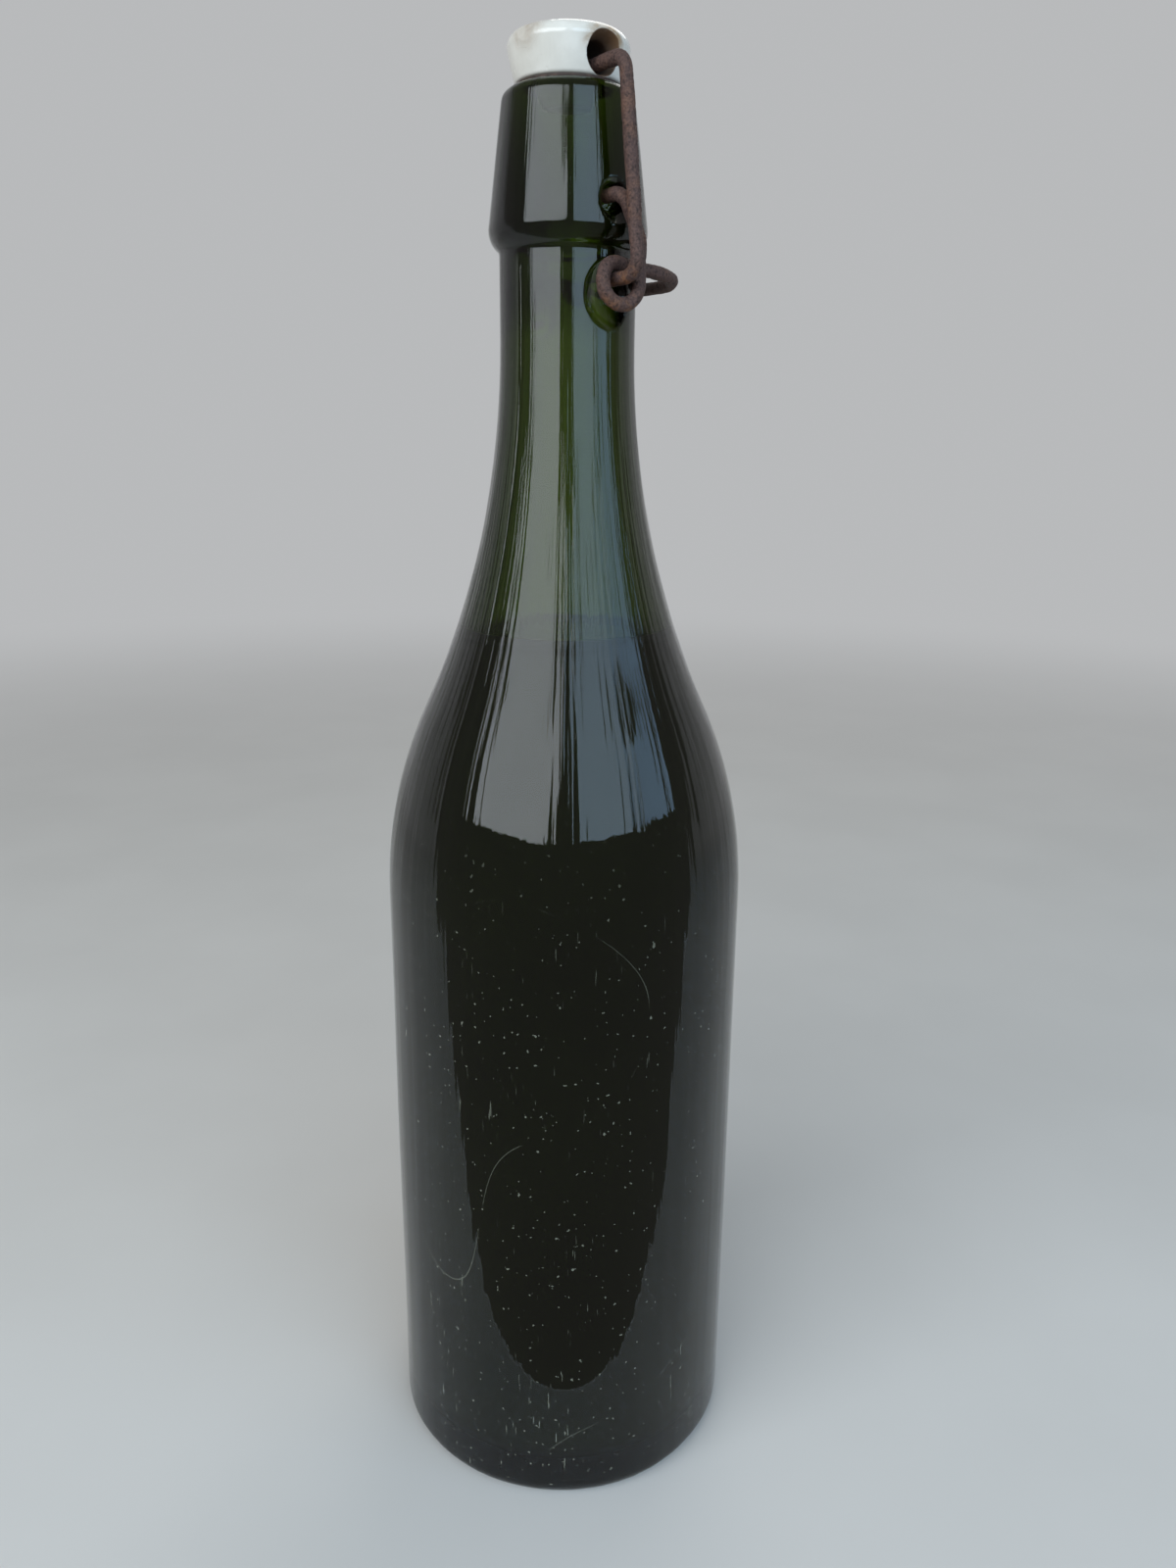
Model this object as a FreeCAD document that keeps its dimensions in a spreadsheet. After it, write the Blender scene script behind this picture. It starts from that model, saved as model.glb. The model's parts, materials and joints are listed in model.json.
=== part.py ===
import FreeCAD, Part
import math
import os
import Sketcher

# Swing top bottle: a glass bottle closed by a porcelain stopper, which a bail and a lever of bent wire pull down.
# The origin is the centre of the base and +Z is up. The lever turns about the Y axis, and its handle lies at +X.
# Lengths are in millimetres and angles in degrees.

SIZES = (
    # Mouth and lip, from the bore out
    ("bore_diameter", 17.2, "bore of the mouth"),
    ("mouth_rounding", 0.6, "round of the inner edge of the rim"),
    ("rim_width", 1.4, "flat of the rim"),
    ("lip_edge_radius", 2.5, "round of the outer edge of the rim"),
    ("lip_taper", 2.75, "radius that the lip gains from its top edge to its widest"),
    ("lip_overhang", 2.15, "how far the widest part of the lip stands out from the neck"),
    ("lip_skirt", 4.0, "height of the rounded underside of the lip"),
    ("lip_height", 29.0, "underside of the lip to the rim"),
    # Neck, shoulder, body and base
    ("neck_length", 16.0, "straight neck below the lip"),
    ("throat_height", 7.0, "cone from the inside of the neck in to the bore of the mouth"),
    ("shoulder_height", 118.0, "start of the shoulder to the start of the straight neck"),
    ("shoulder_radius", 100.0, "round of the shoulder, which runs into the hollow round of the neck"),
    ("body_height", 137.0, "base to the start of the shoulder"),
    ("body_diameter", 80.0, "outside diameter of the straight body"),
    ("wall", 4.0, "glass thickness of the body, shoulder and neck"),
    ("base_thickness", 6.0, "glass thickness of the base"),
    ("heel_radius", 4.0, "round between the base and the body, outside"),
    ("inner_heel_radius", 8.0, "round between the base and the body, inside"),
    ("bearing_width", 9.0, "flat ring that the bottle stands on"),
    ("punt_rise", 6.0, "height of the hollow inside that ring"),
    # Sockets in the lip and dimples in the neck
    ("pivot_drop", 20.0, "rim down to the axis of the lever"),
    ("socket_slack", 1.7, "how much wider a socket is than the wire"),
    ("socket_floor", 2.6, "glass left between a socket and the bore"),
    ("dish_width", 1.75, "how far the dished mouth of a socket widens it on each side"),
    ("dish_depth", 1.5, "depth of that dish"),
    ("dimple_height", 13.0, "height of the dimple behind an eye of the lever"),
    ("dimple_depth", 2.9, "depth of that dimple"),
    ("dimple_drop", 1.8, "centre of the eye down to the centre of the dimple"),
    # Clearances
    ("pin_gap", 0.1, "running gap of a wire that turns in a hole or an eye"),
    ("pin_end_gap", 0.5, "gap between an end of the lever and the floor of its socket"),
    ("wire_gap", 0.3, "gap between two wires that pass each other"),
    ("lip_gap", 0.35, "gap between an arm of the lever and the widest part of the lip"),
    ("neck_gap", 0.3, "gap between the wires and the neck"),
    ("eye_gap", 1.7, "gap between an eye of the lever and the underside of the lip"),
    ("handle_gap", 1.6, "gap between the sides of the handle and the neck"),
    ("finger_gap", 5.3, "gap between the back of the handle and the neck"),
    ("head_gap", 3.9, "gap between the stopper and the sides of the bail"),
    # Wires
    ("wire_diameter", 2.8, "both wires"),
    ("wire_bend", 3.0, "bend at the pivots and at the top corners of the bail, to the middle of the wire"),
    ("eye_slack", 1.0, "how much more than the wire's own width an eye's round measures"),
    ("handle_flat", 8.4, "straight back of the handle"),
    ("handle_droop", 5.0, "slope of the handle down towards its back"),
    ("leg_bend", 8.0, "soft bend where a leg of the handle passes behind the arm"),
    ("knee_drop", 8.0, "axis of the lever down to the knee of its arm"),
    ("knee_bend", 5.0, "round of that knee"),
    ("hook_bend", 3.5, "bend of the hooks of the bail"),
    # Stopper and gasket
    ("gasket_thickness", 0.6, "rubber pressed between the rim and the stopper"),
    ("gasket_seat", 1.2, "width of the rubber that lies on the rim"),
    ("gasket_fit", 0.2, "gap between the rubber and the boss it sits on"),
    ("plug_gap", 1.8, "gap between the plug and the bore"),
    ("plug_flange", 1.3, "how far the plug stands out to keep the rubber on its boss"),
    ("plug_taper", 1.8, "radius that the plug loses to its tip"),
    ("plug_round", 1.0, "round of the tip"),
    ("plug_length", 4.5, "plug below the rim"),
    ("head_lap", 0.3, "how far the bottom of the head stands out past the rubber"),
    ("head_flare", 1.3, "radius that the head gains from its bottom to its top"),
    ("head_height", 9.7, "height of the head"),
    ("head_base_round", 0.8, "round of the lower edge of the head"),
    ("head_edge_round", 2.6, "round of the upper edge of the head"),
    ("head_crown", 0.7, "rise of the crowned top"),
    ("hole_slack", 2.8, "how much wider the cross hole is than the wire"),
    ("hole_rise", 3.5, "underside of the head to the middle of the cross hole"),
    ("hole_flare", 0.8, "how far the cross hole widens on each side at its mouths"),
    ("hole_flare_depth", 2.0, "depth of that widening"),
)

PLACES = (
    # Radii, from the bore out
    ("bore_r", "sizes.bore_diameter / 2", "bore"),
    ("rim_r", "bore_r + sizes.mouth_rounding", "inner edge of the flat rim"),
    ("edge_r", "rim_r + sizes.rim_width + sizes.lip_edge_radius", "lip at its top edge"),
    ("lip_r", "edge_r + sizes.lip_taper", "lip at its widest"),
    ("neck_r", "lip_r - sizes.lip_overhang", "neck"),
    ("inner_neck_r", "neck_r - sizes.wall", "inside of the neck"),
    ("body_r", "sizes.body_diameter / 2", "body"),
    ("inner_body_r", "body_r - sizes.wall", "inside of the body"),
    ("heel_r", "body_r - sizes.heel_radius", "outer edge of the flat ring under the base"),
    ("punt_r", "heel_r - sizes.bearing_width", "inner edge of that ring"),
    ("inner_punt_r", "inner_body_r - sizes.inner_heel_radius", "domed floor inside"),
    # Heights, from the base up
    ("inner_heel_z", "sizes.base_thickness + sizes.inner_heel_radius", "top of the inner heel"),
    ("neck_z", "sizes.body_height + sizes.shoulder_height", "start of the straight neck"),
    ("lip_z", "neck_z + sizes.neck_length", "underside of the lip"),
    ("widest_z", "lip_z + sizes.lip_skirt", "widest part of the lip"),
    ("rim_z", "lip_z + sizes.lip_height", "rim"),
    ("edge_z", "rim_z - sizes.lip_edge_radius", "lip at its top edge"),
    ("pivot_z", "rim_z - sizes.pivot_drop", "axis of the lever"),
    ("lip_at_pivot_r", "lip_r - sizes.lip_taper * (pivot_z - widest_z) / (edge_z - widest_z)", "lip at that height"),
    # The shoulder round and the hollow neck round touch, so their radii add up to the span of their centres
    ("shoulder_step", "body_r - neck_r", "how much narrower the neck is"),
    ("round_span", "(sizes.shoulder_height ^ 2 + shoulder_step ^ 2) / (2 * shoulder_step)", "sum of both rounds"),
    ("neck_round", "round_span - sizes.shoulder_radius", "hollow round below the neck"),
    ("meet_r", "body_r - sizes.shoulder_radius * shoulder_step / round_span", "where the rounds meet"),
    ("meet_z", "sizes.body_height + sizes.shoulder_radius * sizes.shoulder_height / round_span", "and its height"),
    ("inner_meet_r", "meet_r - sizes.wall * (round_span - shoulder_step) / round_span", "the same inside"),
    ("inner_meet_z", "meet_z - sizes.wall * sizes.shoulder_height / round_span", "and its height"),
    # Holes that the wires run in: the pulled wires bear on the top of a socket and on the top of an eye
    ("wire_r", "sizes.wire_diameter / 2", "wire"),
    ("socket_r", "(sizes.wire_diameter + sizes.socket_slack) / 2", "socket"),
    ("socket_z", "pivot_z + wire_r + sizes.pin_gap - socket_r", "middle of the sockets"),
    ("dish_floor_w", "lip_at_pivot_r - sizes.dish_depth", "bottom of a socket's dish"),
    ("eye_round", "sizes.wire_diameter + sizes.eye_slack", "eye, to the middle of the wire"),
    ("eye_z", "lip_z - sizes.eye_gap - wire_r - eye_round", "middle of the eyes"),
    ("knee_z", "pivot_z - sizes.knee_drop", "knee of the lever's arms"),
    ("hook_z", "eye_z + eye_round - sizes.wire_diameter - sizes.pin_gap", "axis of the bail's hooks"),
    ("dimple_z", "eye_z - sizes.dimple_drop", "middle of the neck dimples"),
    ("dimple_floor_w", "neck_r - sizes.dimple_depth", "bottom of a dimple"),
    # Stopper and gasket, from the bore and the rim
    ("gasket_r", "rim_r + sizes.gasket_seat", "outside of the rubber"),
    ("plug_r", "bore_r - sizes.plug_gap", "flange of the plug"),
    ("boss_r", "plug_r - sizes.plug_flange", "boss inside the rubber"),
    ("plug_tip_r", "plug_r - sizes.plug_taper", "tip of the plug"),
    ("plug_z", "rim_z - sizes.plug_length", "end of the plug"),
    ("head_base_r", "gasket_r + sizes.head_lap", "bottom of the head"),
    ("head_r", "head_base_r + sizes.head_flare", "widest part of the head"),
    ("crown_r", "head_r - sizes.head_edge_round", "crowned top"),
    ("head_z", "rim_z + sizes.gasket_thickness", "underside of the head"),
    ("head_top_z", "head_z + sizes.head_height", "top of the head"),
    ("crown_z", "head_top_z - sizes.head_crown", "edge of the crowned top"),
    ("hole_r", "(sizes.wire_diameter + sizes.hole_slack) / 2", "cross hole"),
    ("hole_z", "head_z + sizes.hole_rise", "middle of the cross hole"),
    ("hole_flare_w", "head_base_r - sizes.hole_flare_depth", "where the cross hole starts to widen"),
    ("bar_z", "hole_z - hole_r + wire_r + sizes.pin_gap", "cross bar of the bail, on the floor of its hole"),
    # Distances of the wires from the middle, along the lever's axis
    ("wire_pitch", "sizes.wire_diameter + sizes.wire_gap", "two wires side by side"),
    ("pin_end_w", "bore_r + sizes.socket_floor + sizes.pin_end_gap", "ends of the lever"),
    ("arm_w", "lip_r + sizes.lip_gap + wire_r", "arm of the lever at its pivot"),
    ("leg_w", "sqrt((neck_r + sizes.neck_gap + wire_r) ^ 2 - eye_round ^ 2)", "leg of the handle behind the arm"),
    ("knee_w", "leg_w + wire_pitch", "arm of the lever from its knee down"),
    ("handle_w", "neck_r + sizes.handle_gap + wire_r", "corners of the handle"),
    ("handle_reach", "neck_r + sizes.finger_gap + wire_r", "back of the handle, towards +X"),
    ("hook_end_w", "neck_r + sizes.neck_gap", "ends of the bail"),
    ("bail_w", "head_r + sizes.head_gap + wire_r", "top corners of the bail"),
)

# A run shorter than this joins two bends directly
SHORTEST_RUN = 1e-4


def make_sheet(doc, name, rows, sign=""):
    """Write rows of (alias, value, meaning) into a sheet; sign goes before each value."""
    sheet = doc.addObject("Spreadsheet::Sheet", name)
    for row, (alias, value, meaning) in enumerate(rows, start=1):
        sheet.set(f"A{row}", meaning)
        sheet.set(f"B{row}", f"{sign}{value}")
        sheet.setAlias(f"B{row}", alias)
    doc.recompute()
    return sheet


def origin_feature(body, role):
    """One of the body's own origin planes or axes."""
    for feature in body.Origin.OriginFeatures:
        if feature.Role == role:
            return feature
    raise ValueError(role)


def arc_between(start, end, radius, turn):
    """The short arc from start to end; turn is 1 where it bends left on its way and -1 where it bends right."""
    chord = end - start
    to_left = FreeCAD.Vector(-chord.y, chord.x, 0).normalize()
    centre_offset = math.sqrt(max(radius ** 2 - (chord.Length / 2) ** 2, 0))
    centre = (start + end) / 2 + to_left * turn * centre_offset
    circle = Part.Circle(centre, FreeCAD.Vector(0, 0, 1), radius)
    first, last = (start, end) if turn > 0 else (end, start)
    angles = [math.atan2(point.y - centre.y, point.x - centre.x) for point in (first, last)]
    return Part.ArcOfCircle(circle, *angles)


def draw_profile(body, sheet, name, role, corners, lift=None):
    """A closed sketch on one of the body's planes, with every size bound to the sheets.

    corners holds (across, up, round): two expressions for the place of a corner, and None or (radius, turn) for
    the stretch from it to the next corner. lift raises the sketch's own origin.
    """
    sketch = body.newObject("Sketcher::SketchObject", name)
    sketch.AttachmentSupport = [(origin_feature(body, role), "")]
    sketch.MapMode = "FlatFace"
    if lift:
        sketch.setExpression("AttachmentOffset.Base.y", lift)
    value = sheet.evalExpression
    points = [FreeCAD.Vector(value(across), value(up), 0) for across, up, _ in corners]
    ends = []
    for index, (_, _, rounding) in enumerate(corners):
        start = points[index]
        end = points[(index + 1) % len(points)]
        if rounding is None:
            piece = sketch.addGeometry(Part.LineSegment(start, end))
            ends.append((piece, 1, 2))
            continue
        radius, turn = rounding
        piece = sketch.addGeometry(arc_between(start, end, value(radius), turn))
        ends.append((piece, 1, 2) if turn > 0 else (piece, 2, 1))
        constraint = sketch.addConstraint(Sketcher.Constraint("Radius", piece, value(radius)))
        sketch.setExpression(f"Constraints[{constraint}]", radius)
    for index, (across, up, _) in enumerate(corners):
        piece, start, _ = ends[index]
        before, _, finish = ends[index - 1]
        sketch.addConstraint(Sketcher.Constraint("Coincident", before, finish, piece, start))
        for kind, axis, place in (("DistanceX", -2, across), ("DistanceY", -1, up)):
            if place == "0":
                sketch.addConstraint(Sketcher.Constraint("PointOnObject", piece, start, axis))
                continue
            constraint = sketch.addConstraint(Sketcher.Constraint(kind, piece, start, value(place)))
            sketch.setExpression(f"Constraints[{constraint}]", place)
    return sketch


def turn_solid(body, sketch, name):
    """Turn a profile about the upright axis of its sketch."""
    solid = body.newObject("PartDesign::Revolution", name)
    solid.Profile = sketch
    solid.ReferenceAxis = (sketch, ["V_Axis"])
    solid.Angle = 360
    body.Document.recompute()


def cut_round(body, sketch, name):
    """Cut a profile, turned about the level axis of its sketch, out of the body."""
    before = body.Shape.Volume
    groove = body.newObject("PartDesign::Groove", name)
    groove.Profile = sketch
    groove.ReferenceAxis = (sketch, ["H_Axis"])
    groove.Angle = 360
    body.Document.recompute()
    check_cut(body, before, name)
    return groove


def repeat_opposite(body, features, name):
    """Repeat the cuts on the other side of the upright axis."""
    before = body.Shape.Volume
    pattern = body.newObject("PartDesign::PolarPattern", name)
    pattern.Originals = features
    pattern.Axis = (origin_feature(body, "Z_Axis"), [""])
    pattern.Angle = 360
    pattern.Occurrences = 2
    body.Tip = pattern
    body.Document.recompute()
    check_cut(body, before, name)


def check_cut(body, volume_before, name):
    if body.Shape.Volume >= volume_before:
        raise RuntimeError(f"{name} cuts nothing")


def new_body(doc, label):
    body = doc.addObject("PartDesign::Body", label)
    body.Label = label
    body.Placement = FreeCAD.Placement()
    return body


def dome_radius(half_width, rise):
    """The expression for the radius of a dome from half its width and its rise."""
    return f"(({half_width}) ^ 2 + ({rise}) ^ 2) / (2 * ({rise}))"


def make_bottle(doc, places):
    """The glass: a turned wall, and a dished blind socket and a dimple on each side."""
    body = new_body(doc, "bottle")
    corners = (
        ("0", "sizes.punt_rise", (dome_radius("places.punt_r", "sizes.punt_rise"), -1)),
        ("places.punt_r", "0", None),
        ("places.heel_r", "0", ("sizes.heel_radius", 1)),
        ("places.body_r", "sizes.heel_radius", None),
        ("places.body_r", "sizes.body_height", ("sizes.shoulder_radius", 1)),
        ("places.meet_r", "places.meet_z", ("places.neck_round", -1)),
        ("places.neck_r", "places.neck_z", None),
        ("places.neck_r", "places.lip_z", (dome_radius("sizes.lip_skirt", "sizes.lip_overhang"), 1)),
        ("places.lip_r", "places.widest_z", None),
        ("places.edge_r", "places.edge_z", ("sizes.lip_edge_radius", 1)),
        ("places.rim_r + sizes.rim_width", "places.rim_z", None),
        ("places.rim_r", "places.rim_z", ("sizes.mouth_rounding", 1)),
        ("places.bore_r", "places.rim_z - sizes.mouth_rounding", None),
        ("places.bore_r", "places.neck_z + sizes.throat_height", None),
        ("places.inner_neck_r", "places.neck_z", ("places.neck_round + sizes.wall", 1)),
        ("places.inner_meet_r", "places.inner_meet_z", ("sizes.shoulder_radius - sizes.wall", -1)),
        ("places.inner_body_r", "sizes.body_height", None),
        ("places.inner_body_r", "places.inner_heel_z", ("sizes.inner_heel_radius", -1)),
        ("places.inner_punt_r", "sizes.base_thickness", (dome_radius("places.inner_punt_r", "sizes.punt_rise"), 1)),
        ("0", "sizes.base_thickness + sizes.punt_rise", None),
    )
    turn_solid(body, draw_profile(body, places, "glass_profile", "XZ_Plane", corners), "glass_wall")

    clear_w = "places.lip_r + sizes.lip_gap"
    dish_slope = "sizes.dish_width / sizes.dish_depth"
    socket_corners = (
        ("places.bore_r + sizes.socket_floor", "0", None),
        ("places.bore_r + sizes.socket_floor", "places.socket_r", None),
        ("places.dish_floor_w", "places.socket_r", None),
        (clear_w, f"places.socket_r + ({clear_w} - places.dish_floor_w) * {dish_slope}", None),
        (clear_w, "0", None),
    )
    socket_sketch = draw_profile(body, places, "socket_profile", "YZ_Plane", socket_corners, "places.socket_z")
    socket = cut_round(body, socket_sketch, "socket")

    ball_r = dome_radius("sizes.dimple_height / 2", "sizes.dimple_depth")
    dimple_corners = (
        ("places.dimple_floor_w", "0", (ball_r, -1)),
        (f"places.dimple_floor_w + {ball_r}", ball_r, None),
        (f"places.dimple_floor_w + {ball_r}", "0", None),
    )
    dimple_sketch = draw_profile(body, places, "dimple_profile", "YZ_Plane", dimple_corners, "places.dimple_z")
    dimple = cut_round(body, dimple_sketch, "dimple")
    repeat_opposite(body, [socket, dimple], "other_side")
    return body


def make_stopper(doc, places):
    """The porcelain: a flared crowned head with a cross hole, and a boss and plug below it."""
    body = new_body(doc, "stopper")
    corners = (
        ("0", "places.plug_z", None),
        ("places.plug_tip_r - sizes.plug_round", "places.plug_z", ("sizes.plug_round", 1)),
        ("places.plug_tip_r", "places.plug_z + sizes.plug_round", None),
        ("places.plug_r", "places.rim_z", None),
        ("places.boss_r", "places.rim_z", None),
        ("places.boss_r", "places.head_z", None),
        ("places.head_base_r - sizes.head_base_round", "places.head_z", ("sizes.head_base_round", 1)),
        ("places.head_base_r", "places.head_z + sizes.head_base_round", None),
        ("places.head_r", "places.crown_z - sizes.head_edge_round", ("sizes.head_edge_round", 1)),
        ("places.crown_r", "places.crown_z", (dome_radius("places.crown_r", "sizes.head_crown"), 1)),
        ("0", "places.head_top_z", None),
    )
    turn_solid(body, draw_profile(body, places, "stopper_profile", "XZ_Plane", corners), "porcelain")

    flare_slope = "sizes.hole_flare / sizes.hole_flare_depth"
    hole_corners = (
        ("0", "0", None),
        ("0", "places.hole_r", None),
        ("places.hole_flare_w", "places.hole_r", None),
        ("places.head_r", f"places.hole_r + (places.head_r - places.hole_flare_w) * {flare_slope}", None),
        ("places.head_r", "0", None),
    )
    hole_sketch = draw_profile(body, places, "hole_profile", "YZ_Plane", hole_corners, "places.hole_z")
    hole = cut_round(body, hole_sketch, "cross_hole")
    repeat_opposite(body, [hole], "other_mouth")
    return body


def make_gasket(doc, places):
    """The rubber: a flat ring that bulges a little where it is pressed."""
    body = new_body(doc, "gasket")
    inner_r = "places.boss_r + sizes.gasket_fit"
    corners = (
        (inner_r, "places.rim_z", None),
        ("places.gasket_r", "places.rim_z", ("sizes.gasket_thickness", 1)),
        ("places.gasket_r", "places.head_z", None),
        (inner_r, "places.head_z", None),
    )
    turn_solid(body, draw_profile(body, places, "gasket_profile", "XZ_Plane", corners), "rubber")
    return body


def bend_path(corners):
    """One line of straight runs and tangent bends through corners of (point, bend radius)."""
    edges = []
    last = corners[0][0]
    for (before, _), (corner, bend), (after, _) in zip(corners, corners[1:], corners[2:]):
        back = (before - corner).normalize()
        ahead = (after - corner).normalize()
        half_angle = back.getAngle(ahead) / 2
        start = corner + back * bend / math.tan(half_angle)
        end = corner + ahead * bend / math.tan(half_angle)
        middle = corner + (back + ahead).normalize() * (bend / math.sin(half_angle) - bend)
        if (start - last).Length > SHORTEST_RUN:
            edges.append(Part.LineSegment(last, start).toShape())
            last = start
        edges.append(Part.Arc(last, middle, end).toShape())
        last = end
    edges.append(Part.LineSegment(last, corners[-1][0]).toShape())
    return Part.Wire(edges)


def both_sides(half):
    """Corners of a whole wire from those of its -Y half, each (x, distance from the middle, z, bend)."""
    near = [(FreeCAD.Vector(x, -w, z), bend) for x, w, z, bend in half]
    far = [(FreeCAD.Vector(x, w, z), bend) for x, w, z, bend in reversed(half)]
    return near + far


def make_wire(doc, label, half):
    """A round wire swept along its bent path."""
    path = doc.addObject("Part::Feature", f"{label}_path")
    path.Shape = bend_path(both_sides(half))
    section = doc.addObject("Part::Circle", f"{label}_section")
    section.setExpression("Radius", "places.wire_r")
    first_run = path.Shape.Edges[0]
    facing = FreeCAD.Rotation(FreeCAD.Vector(0, 0, 1), first_run.tangentAt(first_run.FirstParameter))
    section.Placement = FreeCAD.Placement(path.Shape.OrderedVertexes[0].Point, facing)
    wire = doc.addObject("Part::Sweep", label)
    wire.Label = label
    wire.Sections = [section]
    wire.Spine = (path, [f"Edge{number}" for number in range(1, len(path.Shape.Edges) + 1)])
    wire.Solid = True
    doc.recompute()
    return wire


def make_lever(doc, sizes, places):
    """The lower wire: pivots in the lip, arms, one full turn of eye on each side, and the handle behind."""
    eye = places.eye_round
    eye_foot = places.eye_z - eye
    droop = math.radians(sizes.handle_droop)
    # The leg of the handle runs off the eye's round at a tangent
    eye_top = places.eye_z + eye * (1 + math.sin(droop)) / math.cos(droop)

    def leg_z(x):
        return eye_top - (x + eye) * math.tan(droop)

    # The eye's wire moves in from the arm to the leg over its turn
    eye_step = places.wire_pitch / 3
    flare = math.atan2(places.handle_w - places.leg_w, places.handle_reach - eye)
    corner_run = places.handle_w - sizes.handle_flat / 2
    corner_bend = corner_run / math.tan((math.pi / 2 + flare) / 2)
    half = (
        (0, places.pin_end_w, places.pivot_z, None),
        (0, places.arm_w, places.pivot_z, sizes.wire_bend),
        (eye, places.knee_w, places.knee_z, sizes.knee_bend),
        (eye, places.knee_w, eye_foot, eye),
        (-eye, places.knee_w - eye_step, eye_foot, eye),
        (-eye, places.leg_w + eye_step, eye_top, eye),
        (eye, places.leg_w, leg_z(eye), sizes.leg_bend),
        (places.handle_reach, places.handle_w, leg_z(places.handle_reach), corner_bend),
    )
    return make_wire(doc, "lever_wire", half)


def make_bail(doc, sizes, places):
    """The upper wire: hooks in the eyes, straight sides that clear the arms of the lever, and the cross bar."""
    # A side slopes out from its top corner until it passes the arm's bend and the arm's knee at a wire's pitch
    bend_inset = places.bail_w - (places.arm_w - sizes.wire_bend)
    bend_drop = places.bar_z - (places.pivot_z - sizes.wire_bend)
    bend_span = math.hypot(bend_inset, bend_drop)
    past_bend = math.asin((sizes.wire_bend + places.wire_pitch) / bend_span) - math.atan2(bend_inset, bend_drop)
    bail_length = places.bar_z - places.hook_z
    knee_reach = math.hypot(places.eye_round, places.knee_z - places.hook_z)
    past_knee = math.atan2(places.knee_w + places.wire_pitch - places.bail_w, bail_length - knee_reach)
    hook_w = places.bail_w + bail_length * math.tan(max(past_bend, past_knee))
    half = (
        (0, places.hook_end_w, places.hook_z, None),
        (0, hook_w, places.hook_z, sizes.hook_bend),
        (0, places.bail_w, places.bar_z, sizes.wire_bend),
    )
    return make_wire(doc, "bail_wire", half)


def check_and_write(doc, parts):
    """Stop on any failed object or shape, then write one file for each piece."""
    for item in doc.Objects:
        if "Invalid" in item.State or "Error" in item.State:
            raise RuntimeError(f"{item.Label} failed: {item.State}")
    for part in parts:
        shape = part.Shape
        if shape.isNull() or not shape.isValid() or len(shape.Solids) != 1:
            raise RuntimeError(f"{part.Label} has no valid solid")
    os.makedirs("parts", exist_ok=True)
    for part in parts:
        part.Shape.exportStep(f"parts/{part.Label}.step")
        print(f"{part.Label}: {part.Shape.Volume / 1000:.2f} cm3")


def main():
    doc = FreeCAD.newDocument("swing_top_bottle")
    sizes = make_sheet(doc, "sizes", SIZES)
    places = make_sheet(doc, "places", PLACES, sign="=")
    lever = make_lever(doc, sizes, places)
    bail = make_bail(doc, sizes, places)
    for wire in (lever, bail):
        path_volume = wire.Spine[0].Shape.Length * math.pi * places.wire_r ** 2
        print(f"{wire.Label}: swept volume over section times length {wire.Shape.Volume / path_volume:.5f}")
    parts = (make_bottle(doc, places), lever, bail, make_stopper(doc, places), make_gasket(doc, places))
    check_and_write(doc, parts)


main()
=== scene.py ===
import json
import math
import bpy
import numpy as np
from mathutils import Matrix, Vector, noise


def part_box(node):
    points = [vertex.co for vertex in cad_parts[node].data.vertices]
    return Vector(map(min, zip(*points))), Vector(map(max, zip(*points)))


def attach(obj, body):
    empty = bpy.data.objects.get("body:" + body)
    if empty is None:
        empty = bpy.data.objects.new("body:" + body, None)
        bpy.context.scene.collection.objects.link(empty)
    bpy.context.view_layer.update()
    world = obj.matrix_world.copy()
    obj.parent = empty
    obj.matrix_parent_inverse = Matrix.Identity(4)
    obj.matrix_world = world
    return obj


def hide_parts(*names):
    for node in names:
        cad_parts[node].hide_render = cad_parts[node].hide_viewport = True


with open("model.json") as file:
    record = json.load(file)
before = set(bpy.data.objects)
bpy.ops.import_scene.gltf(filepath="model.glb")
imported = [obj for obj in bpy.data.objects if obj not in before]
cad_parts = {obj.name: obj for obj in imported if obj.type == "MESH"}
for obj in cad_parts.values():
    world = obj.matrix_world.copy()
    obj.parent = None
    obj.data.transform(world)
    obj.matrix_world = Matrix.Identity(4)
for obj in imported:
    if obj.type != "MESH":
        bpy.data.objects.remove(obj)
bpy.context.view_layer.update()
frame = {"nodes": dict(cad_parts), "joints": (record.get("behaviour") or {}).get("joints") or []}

# Swing top bottle in the frame of its solids: dark green glass, rusted wires, stained porcelain stopper.
# Sizes of the glass are in millimetres, as they are in its drawing, and everything else is in metres.

MM = 0.001
JOINTS = {joint["name"]: Vector(joint["pos_m"]) for joint in frame["joints"]}

# Glass: the same sizes as the solid has
BODY_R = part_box("bottle")[1].x / MM
RIM_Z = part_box("bottle")[1].z / MM
PIVOT_Z = JOINTS["lever_hinge"].z / MM
BORE_R = 8.6
MOUTH_ROUNDING = 0.6
RIM_WIDTH = 1.4
LIP_EDGE_RADIUS = 2.5
LIP_TAPER = 2.75
LIP_OVERHANG = 2.15
LIP_SKIRT = 4.0
LIP_HEIGHT = 29.0
NECK_LENGTH = 16.0
THROAT_HEIGHT = 7.0
SHOULDER_HEIGHT = 118.0
SHOULDER_RADIUS = 100.0
WALL = 4.0
BASE_THICKNESS = 6.0
HEEL_RADIUS = 4.0
INNER_HEEL_RADIUS = 8.0
BEARING_WIDTH = 9.0
PUNT_RISE = 6.0
SOCKET_R = 2.25
SOCKET_DROP = 0.75
SOCKET_FLOOR = 2.6
SOCKET_WALL = 0.4
DISH_WIDTH = 1.75
DISH_DEPTH = 1.5
DIMPLE_HEIGHT = 13.0
DIMPLE_DEPTH = 2.9
DIMPLE_DROP = 17.7
FILL_Z = 195.0
SEAM_ANGLES = (10, 190)
SEAM_HEIGHT = 0.14
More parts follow.
